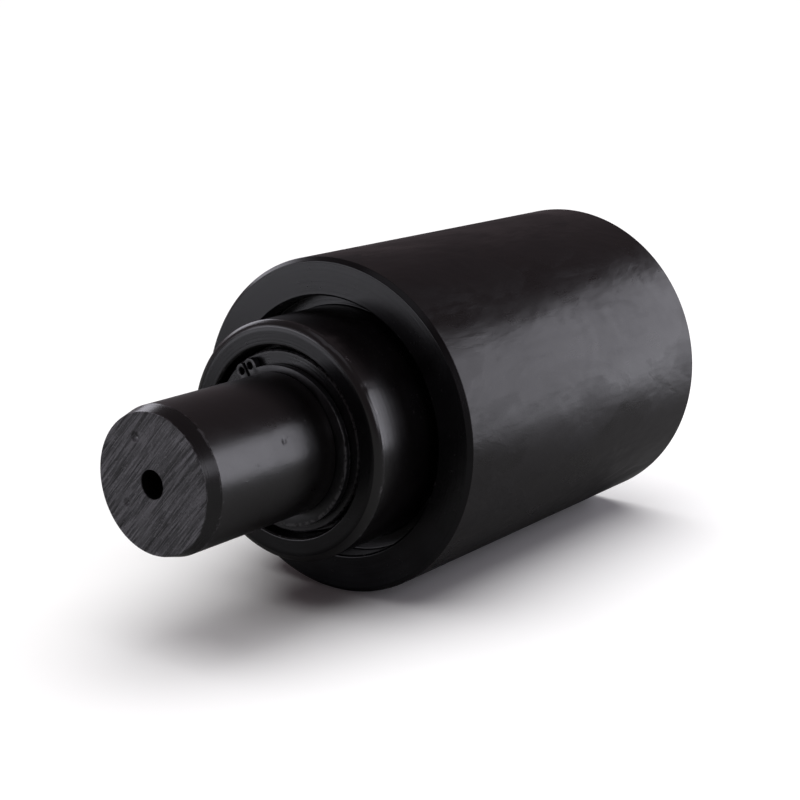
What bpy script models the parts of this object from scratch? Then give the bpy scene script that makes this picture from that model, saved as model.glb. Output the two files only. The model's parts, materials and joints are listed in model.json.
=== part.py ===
"""Carrier roller for a small tracked excavator: a plain roller that turns on a stub shaft.

The shaft lies along +Y. A station is a distance along it from the roller's front face, which is
the face on the shaft's side: stations in front of that face are negative. The origin of the model
is on the axis, halfway along the bare stub that the machine's frame clamps.
"""

from math import acos, asin, cos, pi, radians, sin, sqrt

import bmesh
import bpy
from mathutils import Matrix, Vector

MM = 0.001
GAP = 0.3 * MM  # clearance between pieces that touch on the real roller
SHARP_ANGLE = radians(35)

# Roller shell
ROLLER_RADIUS = 36.5 * MM
ROLLER_LENGTH = 95.0 * MM
EDGE_CHAMFER = 0.9 * MM
HUB_RADIUS = 25.6 * MM
HUB_OUT = 15.75 * MM  # how far the hub stands out of the front face
HUB_ROUND = (2.2 * MM, 1.5 * MM)  # radial and axial size of the hub's rounded edge
HUB_BORE_CHAMFER = 0.4 * MM
RECESS_RADIUS = 28.25 * MM
RECESS_DEPTH = 5.5 * MM
WEB_BORE_RADIUS = 18.6 * MM

# Shaft
SHAFT_RADIUS = 15.0 * MM
SHAFT_OUT = 52.9 * MM  # from the front face to the shaft's end
LEAD_IN = (0.9 * MM, 3.4 * MM)  # radial and axial size of the tapered end
SHOULDER_RADIUS = 18.0 * MM
SHOULDER_WIDTH = 3.5 * MM
OIL_HOLE_RADIUS = 2.9 * MM
OIL_HOLE_END = 4.0 * MM
OIL_PLUG_STATION = -30.0 * MM
OIL_PLUG_LENGTH = 6.0 * MM
OIL_PLUG_SOCKET = (3.0 * MM, 2.5 * MM)  # width across flats, and depth
CROSS_HOLE_RADIUS = 1.8 * MM
SPACER_WALL = 2.9 * MM

# Ball bearings, 30 x 55 x 13
BEARING_RADIUS = 27.5 * MM
BEARING_WIDTH = 13.0 * MM
PITCH_RADIUS = 21.25 * MM
BALL_RADIUS = 3.57 * MM
BALLS = 11
INNER_LAND_RADIUS = 19.3 * MM
OUTER_LAND_RADIUS = 23.2 * MM
CAGE_RADII = (20.1 * MM, 22.4 * MM)
CAGE_WIDTH = 10.0 * MM
FRONT_SEAT = 10.0 * MM  # station of the shell's shoulder behind the web
REAR_BEARING = 64.3 * MM  # station of the rear bearing's front side

# Circlips: thickness, and the groove's depth
SHAFT_CLIP_WIDTH = 1.5 * MM
BORE_CLIP_WIDTH = 2.0 * MM
SHAFT_CLIP_DEPTH = 0.7 * MM
BORE_CLIP_DEPTH = 1.5 * MM
CLIP_CLEARANCE = 0.25 * MM
CLIP_SLIT = 0.7 * MM  # width of a circlip's opening
CLIP_LUG_SPACING = 1.35 * MM  # from the middle of the opening to each lug's hole
SHAFT_CLIP_STATION = -16.2 * MM
SHAFT_CLIP_TURN = radians(122)  # where the visible circlip's opening points, from +X towards +Z
SHAFT_CLIP_BAND = 17.05 * MM  # outer radius of the band, and the radius that its lugs lie on
SHAFT_CLIP_LUGS = 17.2 * MM
BORE_CLIP_BAND = 1.9 * MM  # how far the band and the middle of its lugs reach into the bore
BORE_CLIP_LUGS = 2.4 * MM
SHAFT_CLIP_LUG = (1.6 * MM, 0.8 * MM)  # radius of a lug, and of the hole in it
BORE_CLIP_LUG = (2.2 * MM, 1.0 * MM)
BAND_OFFSET = 0.7 * MM  # a circlip's band is widest opposite its opening

# Oil seal, 30 x 40 x 7
SEAL_RADIUS = 20.0 * MM
SEAL_WIDTH = 7.0 * MM
SEAL_STATION = -10.0 * MM
SEAL_WALL = 0.8 * MM
SEAL_CASE_BORE = 17.0 * MM
LIP_FLEX_RADIUS = 16.3 * MM  # the thin part of the rubber, between its dust lip and its oil lip
LIP_BACK_RADIUS = 17.3 * MM
GARTER_RADIUS = 18.4 * MM
GARTER_WIRE = 0.45 * MM
COLLAR_RADIUS = 19.35 * MM
COLLAR_WIDTH = 4.0 * MM

# End cover
COVER_RADIUS = 29.2 * MM
COVER_STATION = 85.0 * MM
COVER_WIDTH = 6.0 * MM
O_RING_CORD = 1.0 * MM
COVER_DISH = (11.0 * MM, 22.0 * MM, 2.0 * MM)  # inner and outer radius, and depth
PLUG_RADIUS = 4.7 * MM
PLUG_HEAD = (7.3 * MM, 2.1 * MM)  # radius and height
PLUG_SOCKET = (5.0 * MM, 3.5 * MM)  # width across flats, and depth
WASHER_WIDTH = 1.0 * MM
WASHER_GAP = 0.25 * MM

# The machine clamps the stub between the hub's rim and the shaft's end.
ORIGIN_STATION = -(HUB_OUT + SHAFT_OUT) / 2

ROLLER_SIDES = 56
SHAFT_SIDES = 40
INNER_SIDES = 28
CAGE_SIDES = 33  # three for each ball, so that every pocket is cut alike

# Base colour, metallic and roughness of each finish
FINISHES = {
    "black_lacquer": ((0.012, 0.011, 0.011), 0.3, 0.36),
    "black_oxide_steel": ((0.020, 0.020, 0.021), 0.8, 0.42),
    "ground_steel": ((0.56, 0.57, 0.58), 1.0, 0.22),
    "spring_steel": ((0.035, 0.036, 0.040), 0.9, 0.38),
    "pressed_steel": ((0.40, 0.41, 0.42), 1.0, 0.40),
    "seal_coat": ((0.012, 0.012, 0.013), 0.0, 0.45),
    "seal_rubber": ((0.015, 0.015, 0.016), 0.0, 0.70),
    "copper": ((0.70, 0.31, 0.17), 1.0, 0.34),
}


def clear_scene():
    for obj in list(bpy.data.objects):
        bpy.data.objects.remove(obj, do_unlink=True)


def new_collection(name):
    collection = bpy.data.collections.new(name)
    bpy.context.scene.collection.children.link(collection)
    return collection


def new_axis(name):
    """An empty on the shaft's axis, at the roller's front face: its children measure in stations."""
    empty = bpy.data.objects.new(name, None)
    empty.location = (0, -ORIGIN_STATION, 0)
    PARTS.objects.link(empty)
    return empty


def finish_material(name):
    """The Principled material of a finish, made once."""
    material = bpy.data.materials.get(name)
    if material is None:
        colour, metallic, roughness = FINISHES[name]
        material = bpy.data.materials.new(name)
        material.use_nodes = True
        shader = material.node_tree.nodes["Principled BSDF"]
        shader.inputs["Base Color"].default_value = (*colour, 1)
        shader.inputs["Metallic"].default_value = metallic
        shader.inputs["Roughness"].default_value = roughness
    return material


def settled(obj):
    """Turn the object's modifiers or curve into a plain mesh, welded and shaded smooth."""
    graph = bpy.context.evaluated_depsgraph_get()
    mesh = bpy.data.meshes.new_from_object(obj.evaluated_get(graph))
    shape = bmesh.new()
    shape.from_mesh(mesh)
    bmesh.ops.remove_doubles(shape, verts=shape.verts, dist=0.001 * MM)
    bmesh.ops.recalc_face_normals(shape, faces=shape.faces)
    shape.to_mesh(mesh)
    shape.free()
    mesh.shade_smooth()
    mesh.set_sharp_from_angle(angle=SHARP_ANGLE)
    return mesh


def add_part(name, mesh, axis, finish):
    """Place a finished mesh in the model as one named piece."""
    mesh.name = name
    mesh.materials.clear()
    mesh.materials.append(finish_material(finish))
    obj = bpy.data.objects.new(name, mesh)
    obj.parent = axis
    PARTS.objects.link(obj)
    return obj


def turned_mesh(profile, sides, closed=True):
    """Turn (radius, station) points about the axis.

    A closed profile makes a ring. An open one starts and ends on the axis.
    """
    points = [Vector((radius, station, 0)) for radius, station in profile]
    shape = bmesh.new()
    corners = [shape.verts.new(point) for point in points]
    for first, second in zip(corners, corners[1:]):
        shape.edges.new((first, second))
    if closed:
        shape.edges.new((corners[-1], corners[0]))
    mesh = bpy.data.meshes.new("profile")
    shape.to_mesh(mesh)
    shape.free()
    guide = bpy.data.objects.new("profile", mesh)
    PARTS.objects.link(guide)
    screw = guide.modifiers.new("Screw", "SCREW")
    screw.axis = "Y"
    screw.angle = 2 * pi
    screw.steps = sides
    screw.render_steps = sides
    screw.use_merge_vertices = True
    screw.merge_threshold = 0.00001
    bpy.context.view_layer.update()
    result = settled(guide)
    bpy.data.objects.remove(guide, do_unlink=True)
    return result


def arc(centre, radii, start, end, steps):
    """Points on an elliptical arc of (radius, station) pairs, angles from +radius to +station."""
    turn = (end - start) / steps
    angles = [start + turn * i for i in range(steps + 1)]
    return [
        (centre[0] + radii[0] * cos(a), centre[1] + radii[1] * sin(a)) for a in angles
    ]


def new_cutter(name, mesh):
    """A helper that is subtracted from a part and never shown."""
    cutter = bpy.data.objects.new(name, mesh)
    cutter.hide_render = True
    cutter.display_type = "WIRE"
    CUTTERS.objects.link(cutter)
    return cutter


def cylinder_mesh(name, radius, length, sides):
    """A closed cylinder about its own Z axis, centred on its origin."""
    shape = bmesh.new()
    bmesh.ops.create_cone(
        shape,
        cap_ends=True,
        segments=sides,
        radius1=radius,
        radius2=radius,
        depth=length,
    )
    mesh = bpy.data.meshes.new(name)
    shape.to_mesh(mesh)
    shape.free()
    return mesh


def cut(obj, cutter):
    """Subtract the cutter, which keeps its place on the same axis as the part."""
    cutter.parent = obj.parent
    boolean = obj.modifiers.new("Cut", "BOOLEAN")
    boolean.operation = "DIFFERENCE"
    boolean.solver = "EXACT"
    boolean.object = cutter


def groove(radius, bottom, start, end):
    """Points of a square groove in a turned profile that runs towards higher stations."""
    return [(radius, start), (bottom, start), (bottom, end), (radius, end)]


def clip_groove(radius, bottom, station, width):
    """The groove of a circlip whose front side is at the given station."""
    return groove(radius, bottom, station - CLIP_CLEARANCE, station + width + CLIP_CLEARANCE)


# ---------------------------------------------------------------------------------------------
# Circlips


def band_radius(turn, radius, offset):
    """Distance from the axis to a circle whose centre is offset away from the opening."""
    return -offset * cos(turn) + sqrt(radius**2 - (offset * sin(turn)) ** 2)


def lug_radius(turn, lug_turn, centre, size, outward):
    """Distance to the far side of a round lug, or None where the lug isn't."""
    turn_off = turn - lug_turn
    inside = size**2 - (centre * sin(turn_off)) ** 2
    if inside <= 0 or cos(turn_off) < 0:
        return None
    return centre * cos(turn_off) + (1 if outward else -1) * sqrt(inside)


def clip_edge(turn, band, offset, lugs, outward):
    """The free edge of a circlip: the eccentric band, and the lug where it reaches further."""
    edge = band_radius(turn, band, offset)
    lug_turn, centre, size = lugs
    for side in (lug_turn, 2 * pi - lug_turn):
        reach = lug_radius(turn, side, centre, size, outward)
        if reach is not None:
            edge = max(edge, reach) if outward else min(edge, reach)
    return edge


def circlip_mesh(seat, band, offset, lug_centre, lug, width, outward):
    """A circlip in the XZ plane with its opening along +X and its front side at Y = 0.

    seat is the radius of the edge that sits in the groove, and band that of the free edge, whose
    circle is offset so that the ring is widest opposite its opening. lug holds the radius of a lug
    and of its hole, and lug_centre is how far from the axis they lie.
    """
    lug_size, hole = lug
    slit = CLIP_SLIT / 2 / lug_centre
    lug_turn = asin(CLIP_LUG_SPACING / lug_centre)
    lugs = (lug_turn, lug_centre, lug_size)
    lug_end = lug_turn + asin(lug_size / lug_centre)
    fine = [slit + (lug_end - slit) * i / 6 for i in range(7)]
    coarse_steps = 22
    coarse = [lug_end + (2 * pi - 2 * lug_end) * i / coarse_steps for i in range(1, coarse_steps)]
    turns = fine + coarse + [2 * pi - turn for turn in reversed(fine)]
    free = [(clip_edge(turn, band, offset, lugs, outward), turn) for turn in turns]
    seated = [(seat, turn) for turn in [slit] + [fine[-1]] + coarse + [2 * pi - fine[-1]]]
    seated.append((seat, 2 * pi - slit))
    outline = [(r * cos(t), r * sin(t)) for r, t in free + seated[::-1]]
    holes = []
    for side in (lug_turn, -lug_turn):
        middle = (lug_centre * cos(side), lug_centre * sin(side))
        steps = [2 * pi * i / 8 for i in range(8)]
        holes.append([(middle[0] + hole * cos(a), middle[1] + hole * sin(a)) for a in steps])
    curve = bpy.data.curves.new("circlip", "CURVE")
    curve.dimensions = "2D"
    curve.fill_mode = "BOTH"
    curve.extrude = width / 2
    for points in [outline] + holes:
        spline = curve.splines.new("POLY")
        spline.points.add(len(points) - 1)
        for point, (x, y) in zip(spline.points, points):
            point.co = (x, y, 0, 1)
        spline.use_cyclic_u = True
    flat = bpy.data.objects.new("circlip", curve)
    PARTS.objects.link(flat)
    bpy.context.view_layer.update()
    mesh = settled(flat)
    bpy.data.objects.remove(flat, do_unlink=True)
    mesh.transform(Matrix.Translation((0, width / 2, 0)) @ Matrix.Rotation(pi / 2, 4, "X"))
    return mesh


def make_shaft_clip(name, station, turn):
    mesh = circlip_mesh(
        seat=SHAFT_RADIUS - SHAFT_CLIP_DEPTH + GAP,
        band=SHAFT_CLIP_BAND,
        offset=BAND_OFFSET,
        lug_centre=SHAFT_CLIP_LUGS,
        lug=SHAFT_CLIP_LUG,
        width=SHAFT_CLIP_WIDTH,
        outward=True,
    )
    mesh.transform(Matrix.Rotation(-turn, 4, "Y"))
    clip = add_part(name, mesh, STILL, "spring_steel")
    clip.location.y = station


def make_bore_clip(name, bore_radius, station, turn):
    mesh = circlip_mesh(
        seat=bore_radius + BORE_CLIP_DEPTH - GAP,
        band=bore_radius - BORE_CLIP_BAND,
        offset=-BAND_OFFSET,
        lug_centre=bore_radius - BORE_CLIP_LUGS,
        lug=BORE_CLIP_LUG,
        width=BORE_CLIP_WIDTH,
        outward=False,
    )
    mesh.transform(Matrix.Rotation(-turn, 4, "Y"))
    clip = add_part(name, mesh, ROLLING, "spring_steel")
    clip.location.y = station


# ---------------------------------------------------------------------------------------------
# Shaft, shell and closures

REAR_BEARING_END = REAR_BEARING + BEARING_WIDTH
BEARING_BORE = BEARING_RADIUS + GAP
COVER_BORE = COVER_RADIUS + GAP
BEARING_CLIP_STATION = REAR_BEARING_END + GAP
REAR_CLIP_STATION = REAR_BEARING_END + GAP
COVER_CLIP_STATION = COVER_STATION + COVER_WIDTH + 1.5 * GAP
SHAFT_END = REAR_CLIP_STATION + SHAFT_CLIP_WIDTH + 3.0 * MM


def make_shaft():
    groove_bottom = SHAFT_RADIUS - SHAFT_CLIP_DEPTH
    chamfer = 0.8 * MM
    profile = [
        (OIL_HOLE_RADIUS, -SHAFT_OUT),
        (SHAFT_RADIUS - LEAD_IN[0], -SHAFT_OUT),
        (SHAFT_RADIUS, -SHAFT_OUT + LEAD_IN[1]),
        *clip_groove(SHAFT_RADIUS, groove_bottom, SHAFT_CLIP_STATION, SHAFT_CLIP_WIDTH),
        *groove(SHAFT_RADIUS, SHOULDER_RADIUS, FRONT_SEAT - SHOULDER_WIDTH, FRONT_SEAT),
        *clip_groove(SHAFT_RADIUS, groove_bottom, REAR_CLIP_STATION, SHAFT_CLIP_WIDTH),
        (SHAFT_RADIUS, SHAFT_END - chamfer),
        (SHAFT_RADIUS - chamfer, SHAFT_END),
        (0, SHAFT_END),
    ]
    bottom = [(0, OIL_HOLE_END + OIL_HOLE_RADIUS / 2), (OIL_HOLE_RADIUS, OIL_HOLE_END)]
    mesh = turned_mesh(bottom + profile, SHAFT_SIDES, closed=False)
    shaft = add_part("shaft", mesh, STILL, "black_oxide_steel")
    length = SHAFT_RADIUS + MM
    cross = cylinder_mesh("oil_cross_hole", CROSS_HOLE_RADIUS, length, 12)
    cutter = new_cutter("oil_cross_hole", cross)
    cutter.location = (0, 0, -length / 2)
    cut(shaft, cutter)


def make_oil_hole_plug():
    """A grub screw deep in the shaft's oil hole."""
    front = OIL_PLUG_STATION
    back = front + OIL_PLUG_LENGTH
    radius = OIL_HOLE_RADIUS - GAP
    chamfer = 0.4 * MM
    profile = [
        (0, front),
        (radius - chamfer, front),
        (radius, front + chamfer),
        (radius, back - chamfer),
        (radius - chamfer, back),
        (0, back),
    ]
    mesh = turned_mesh(profile, 16, closed=False)
    plug = add_part("oil_hole_plug", mesh, STILL, "spring_steel")
    cut(plug, hex_cutter("oil_hole_plug_socket", OIL_PLUG_SOCKET, front))


def hex_cutter(name, size, station):
    """A hexagonal socket cutter, which reaches its depth either side of the station."""
    across_flats, depth = size
    corner_radius = across_flats / 2 / cos(pi / 6)
    cutter = new_cutter(name, cylinder_mesh(name, corner_radius, 2 * depth, 6))
    cutter.rotation_euler.x = pi / 2
    cutter.location.y = station
    return cutter


def make_roller_shell():
    hub_bore = SEAL_RADIUS + GAP
    rim = -HUB_OUT
    relief = 2.5 * MM
    recess_chamfer = 0.35 * MM
    clip_bottom = BEARING_BORE + BORE_CLIP_DEPTH
    cover_clip_bottom = COVER_BORE + BORE_CLIP_DEPTH
    rear_chamfer = 0.6 * MM
    seat_step = COVER_STATION - GAP
    outside = [
        (RECESS_RADIUS, recess_chamfer),
        (RECESS_RADIUS + recess_chamfer, 0),
        (ROLLER_RADIUS - EDGE_CHAMFER, 0),
        (ROLLER_RADIUS, EDGE_CHAMFER),
        (ROLLER_RADIUS, ROLLER_LENGTH - EDGE_CHAMFER),
        (ROLLER_RADIUS - EDGE_CHAMFER, ROLLER_LENGTH),
        (COVER_BORE + rear_chamfer, ROLLER_LENGTH),
        (COVER_BORE, ROLLER_LENGTH - rear_chamfer),
    ]
    bores = [
        *clip_groove(COVER_BORE, cover_clip_bottom, COVER_CLIP_STATION, BORE_CLIP_WIDTH)[::-1],
        (COVER_BORE, seat_step),
        (BEARING_BORE, seat_step),
        *clip_groove(BEARING_BORE, clip_bottom, BEARING_CLIP_STATION, BORE_CLIP_WIDTH)[::-1],
        (BEARING_BORE, FRONT_SEAT),
        (OUTER_LAND_RADIUS + MM, FRONT_SEAT),
        (OUTER_LAND_RADIUS + MM, FRONT_SEAT - relief),
        (WEB_BORE_RADIUS, FRONT_SEAT - relief),
        (WEB_BORE_RADIUS, SEAL_STATION + SEAL_WIDTH + GAP),
        (hub_bore, SEAL_STATION + SEAL_WIDTH + GAP),
        (hub_bore, rim + HUB_BORE_CHAMFER),
        (hub_bore + HUB_BORE_CHAMFER, rim),
    ]
    round_centre = (HUB_RADIUS - HUB_ROUND[0], rim + HUB_ROUND[1])
    hub = [
        *arc(round_centre, HUB_ROUND, -pi / 2, 0, 4),
        (HUB_RADIUS, RECESS_DEPTH),
        (RECESS_RADIUS, RECESS_DEPTH),
    ]
    mesh = turned_mesh(outside + bores + hub, ROLLER_SIDES)
    add_part("roller_shell", mesh, ROLLING, "black_lacquer")


def make_dust_collar():
    front = SHAFT_CLIP_STATION + SHAFT_CLIP_WIDTH + CLIP_CLEARANCE
    back = front + COLLAR_WIDTH
    bore = SHAFT_RADIUS + GAP
    edge = 0.35 * MM
    profile = [
        (bore, front),
        (COLLAR_RADIUS - edge, front),
        (COLLAR_RADIUS, front + edge),
        (COLLAR_RADIUS, back),
        (bore, back),
    ]
    add_part("dust_collar", turned_mesh(profile, SHAFT_SIDES), STILL, "black_oxide_steel")


def make_oil_seal():
    """A rotary lip seal: an L-shaped steel case, a rubber lip, and the spring that tightens it."""
    front = SEAL_STATION
    back = SEAL_STATION + SEAL_WIDTH
    wall_radius = SEAL_RADIUS - SEAL_WALL
    case = [
        (SEAL_CASE_BORE, front),
        (SEAL_RADIUS, front),
        (SEAL_RADIUS, back),
        (wall_radius, back),
        (wall_radius, front + SEAL_WALL),
        (SEAL_CASE_BORE, front + SEAL_WALL),
    ]
    add_part("seal_case", turned_mesh(case, INNER_SIDES), ROLLING, "seal_coat")
    lip_radius = SHAFT_RADIUS + GAP
    lip_station = back - 2.0 * MM
    body = front + SEAL_WALL + GAP
    lip = [
        (lip_radius, front + 0.1 * MM),
        (SEAL_CASE_BORE - GAP, body),
        (wall_radius - GAP, body),
        (wall_radius - GAP, body + 1.2 * MM),
        (LIP_BACK_RADIUS, body + 1.5 * MM),
        (LIP_BACK_RADIUS + GAP, back - 1.0 * MM),
        (LIP_FLEX_RADIUS, back - 0.8 * MM),
        (lip_radius, lip_station),
        (LIP_FLEX_RADIUS, body + 1.4 * MM),
        (LIP_FLEX_RADIUS - 0.2 * MM, body + 0.8 * MM),
    ]
    add_part("seal_lip", turned_mesh(lip, INNER_SIDES), ROLLING, "seal_rubber")
    wire = (GARTER_WIRE, GARTER_WIRE)
    spring = arc((GARTER_RADIUS, lip_station), wire, 0, 2 * pi, 6)[:-1]
    add_part("garter_spring", turned_mesh(spring, INNER_SIDES), ROLLING, "ground_steel")


def make_spacer_sleeve():
    bore = SHAFT_RADIUS + GAP
    outer = bore + SPACER_WALL
    front = FRONT_SEAT + GAP + BEARING_WIDTH + GAP
    back = REAR_BEARING - GAP
    profile = [(bore, front), (outer, front), (outer, back), (bore, back)]
    add_part("spacer_sleeve", turned_mesh(profile, INNER_SIDES), STILL, "ground_steel")


def make_end_cover():
    front = COVER_STATION
    back = COVER_STATION + COVER_WIDTH
    ring_station = (front + back) / 2
    half_groove = O_RING_CORD + GAP
    ring_groove = (ring_station - half_groove, ring_station + half_groove)
    groove_bottom = COVER_BORE - 2 * O_RING_CORD - 2 * GAP
    chamfer = 0.6 * MM
    boss_radius, dish_radius, dish_depth = COVER_DISH
    hole = PLUG_RADIUS + GAP
    profile = [
        (hole, front),
        (COVER_RADIUS - chamfer, front),
        (COVER_RADIUS, front + chamfer),
        *groove(COVER_RADIUS, groove_bottom, *ring_groove),
        (COVER_RADIUS, back - chamfer),
        (COVER_RADIUS - chamfer, back),
        (dish_radius, back),
        (dish_radius - dish_depth, back - dish_depth),
        (boss_radius + dish_depth, back - dish_depth),
        (boss_radius, back),
        (hole, back),
    ]
    add_part("end_cover", turned_mesh(profile, SHAFT_SIDES), ROLLING, "black_lacquer")
    cord = (O_RING_CORD, O_RING_CORD)
    ring_radius = groove_bottom + GAP + O_RING_CORD
    ring = arc((ring_radius, ring_station), cord, 0, 2 * pi, 6)[:-1]
    add_part("cover_o_ring", turned_mesh(ring, INNER_SIDES), ROLLING, "seal_rubber")
    make_fill_plug(back)


def make_fill_plug(cover_back):
    washer_front = cover_back + WASHER_GAP
    washer_back = washer_front + WASHER_WIDTH
    washer_radii = (PLUG_RADIUS + 0.5 * MM, PLUG_HEAD[0] + GAP)
    washer = [
        (washer_radii[0], washer_front),
        (washer_radii[1], washer_front),
        (washer_radii[1], washer_back),
        (washer_radii[0], washer_back),
    ]
    add_part("plug_washer", turned_mesh(washer, 24), ROLLING, "copper")
    head_front = washer_back + WASHER_GAP
    head_back = head_front + PLUG_HEAD[1]
    chamfer = 0.5 * MM
    tip = COVER_STATION - 1.0 * MM
    profile = [
        (0, tip),
        (PLUG_RADIUS - chamfer, tip),
        (PLUG_RADIUS, tip + chamfer),
        (PLUG_RADIUS, head_front),
        (PLUG_HEAD[0], head_front),
        (PLUG_HEAD[0], head_back - chamfer),
        (PLUG_HEAD[0] - chamfer, head_back),
        (0, head_back),
    ]
    plug = add_part("fill_plug", turned_mesh(profile, 24, closed=False), ROLLING, "spring_steel")
    cut(plug, hex_cutter("fill_plug_socket", PLUG_SOCKET, head_back))


# ---------------------------------------------------------------------------------------------
# Ball bearings


def raceway(middle, land, inner):
    """The ball groove of a race, towards higher stations, up to its plain land on either side."""
    groove_radius = BALL_RADIUS + GAP
    half = acos(abs(PITCH_RADIUS - land) / groove_radius)
    centre = (PITCH_RADIUS, middle)
    radii = (groove_radius, groove_radius)
    if inner:
        return arc(centre, radii, pi + half, pi - half, 5)
    return arc(centre, radii, -half, half, 5)


def make_race(name, axis, front, inner):
    middle = front + BEARING_WIDTH / 2
    back = front + BEARING_WIDTH
    chamfer = 1.0 * MM
    land = INNER_LAND_RADIUS if inner else OUTER_LAND_RADIUS
    seat = SHAFT_RADIUS + GAP if inner else BEARING_RADIUS
    step = chamfer if inner else -chamfer
    profile = [
        (land, front),
        *raceway(middle, land, inner),
        (land, back),
        (seat + step, back),
        (seat, back - chamfer),
        (seat, front + chamfer),
        (seat + step, front),
    ]
    add_part(name, turned_mesh(profile, INNER_SIDES), axis, "ground_steel")


def pocket_cutter(name):
    """Radial cylinders through the cage, one for each ball, as one helper."""
    reach = CAGE_RADII[1] + 2.0 * MM
    start = CAGE_RADII[0] - 2.0 * MM
    radius = (BALL_RADIUS + GAP) / cos(pi / 12)
    shape = bmesh.new()
    for i in range(BALLS):
        turn = Matrix.Rotation(-2 * pi * i / BALLS, 4, "Y")
        out = Matrix.Translation(((start + reach) / 2, 0, 0))
        lie = Matrix.Rotation(pi / 2, 4, "Y")
        bmesh.ops.create_cone(
            shape,
            cap_ends=True,
            segments=12,
            radius1=radius,
            radius2=radius,
            depth=reach - start,
            matrix=turn @ out @ lie,
        )
    mesh = bpy.data.meshes.new(name)
    shape.to_mesh(mesh)
    shape.free()
    return new_cutter(name, mesh)


def make_cage(name, axis, middle):
    front = middle - CAGE_WIDTH / 2
    back = middle + CAGE_WIDTH / 2
    inner, outer = CAGE_RADII
    profile = [(inner, front), (outer, front), (outer, back), (inner, back)]
    cage = add_part(name, turned_mesh(profile, CAGE_SIDES), axis, "pressed_steel")
    cutter = pocket_cutter(name + "_pockets")
    cutter.location.y = middle
    cut(cage, cutter)


def ball_mesh():
    shape = bmesh.new()
    bmesh.ops.create_icosphere(shape, subdivisions=2, radius=BALL_RADIUS)
    mesh = bpy.data.meshes.new("ball")
    shape.to_mesh(mesh)
    shape.free()
    mesh.shade_smooth()
    return mesh


def make_bearing(prefix, front, cage_axis, ball):
    middle = front + BEARING_WIDTH / 2
    make_race(prefix + "_outer_race", ROLLING, front, inner=False)
    make_race(prefix + "_inner_race", STILL, front, inner=True)
    make_cage(prefix + "_cage", cage_axis, middle)
    for i in range(BALLS):
        turn = 2 * pi * i / BALLS
        place = (PITCH_RADIUS * cos(turn), middle, PITCH_RADIUS * sin(turn))
        piece = add_part(f"{prefix}_ball_{i + 1:02d}", ball, cage_axis, "ground_steel")
        piece.location = place


clear_scene()
PARTS = new_collection("carrier_roller")
CUTTERS = new_collection("cutters")
STILL = new_axis("shaft_axis")
ROLLING = new_axis("roller_axis")
FRONT_CAGE = new_axis("front_cage_axis")
REAR_CAGE = new_axis("rear_cage_axis")

make_shaft()
make_oil_hole_plug()
make_roller_shell()
make_dust_collar()
make_oil_seal()
make_shaft_clip("shaft_circlip", SHAFT_CLIP_STATION, SHAFT_CLIP_TURN)
make_shaft_clip("rear_shaft_circlip", REAR_CLIP_STATION, pi / 2)
make_bore_clip("bearing_circlip", BEARING_BORE, BEARING_CLIP_STATION, pi / 2)
make_bore_clip("cover_circlip", COVER_BORE, COVER_CLIP_STATION, pi / 2)
make_spacer_sleeve()
make_end_cover()
BALL = ball_mesh()
make_bearing("front", FRONT_SEAT + GAP, FRONT_CAGE, BALL)
make_bearing("rear", REAR_BEARING, REAR_CAGE, BALL)
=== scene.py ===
"""The looks of a carrier roller: fine meshes, materials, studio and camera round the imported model.

The shaft lies along +Y. A station is a distance along it from the roller's front face, which is
the face on the shaft's side: stations in front of that face are negative. Sizes are in metres.
"""

import json
from math import asin, cos, hypot, pi, radians, sin, sqrt

import bmesh
import bpy
import numpy as np
from mathutils import Matrix, Vector, noise


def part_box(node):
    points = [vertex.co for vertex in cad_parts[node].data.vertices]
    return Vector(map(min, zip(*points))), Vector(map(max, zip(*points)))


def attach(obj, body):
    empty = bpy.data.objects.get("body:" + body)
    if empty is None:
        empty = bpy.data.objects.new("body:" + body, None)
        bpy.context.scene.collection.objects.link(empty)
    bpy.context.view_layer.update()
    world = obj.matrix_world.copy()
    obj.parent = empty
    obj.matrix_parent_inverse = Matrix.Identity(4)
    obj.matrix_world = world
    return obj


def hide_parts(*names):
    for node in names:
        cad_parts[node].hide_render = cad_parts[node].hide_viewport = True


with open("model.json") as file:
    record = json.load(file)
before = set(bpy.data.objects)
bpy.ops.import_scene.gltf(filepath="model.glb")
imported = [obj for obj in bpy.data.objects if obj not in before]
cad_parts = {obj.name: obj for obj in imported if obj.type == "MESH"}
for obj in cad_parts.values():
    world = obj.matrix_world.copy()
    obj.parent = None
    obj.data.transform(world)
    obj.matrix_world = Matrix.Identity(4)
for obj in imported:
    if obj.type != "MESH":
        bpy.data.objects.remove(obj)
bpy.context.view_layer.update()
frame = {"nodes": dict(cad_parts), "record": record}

MM = 0.001
SHARP_ANGLE = radians(50)
SLIGHT_BEND = radians(12)  # a corner that bends less than this stays as it is

# Where things are, from the frame
MOUNTS = {mount["name"]: Vector(mount["pos_m"]) for mount in frame["record"]["mounts"]}
SLOTS = {part["node"]: part["material_slot"] for part in frame["record"]["subparts"]}
BODIES = {
    node: body
    for body, nodes in frame["record"]["behaviour"]["bodies"].items()
    for node in nodes
}
FACE_Y = MOUNTS["roller_front_face"].y
SHELL_LOW, SHELL_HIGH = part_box("roller_shell")
SHAFT_LOW, SHAFT_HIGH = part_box("shaft")
ROLLER_RADIUS = SHELL_HIGH.x
ROLLER_LENGTH = SHELL_HIGH.y - FACE_Y
HUB_OUT = FACE_Y - SHELL_LOW.y

# Camera: in front of the roller, on its +X side and a little above
AZIMUTH = radians(37.24)
ELEVATION = radians(14.04)
LENS = 75.86
CAMERA_DISTANCE = 9.84  # in roller radii, from the roller's front face
AIM_RIGHT = 0.40704
AIM_UP = 0.15883

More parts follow.
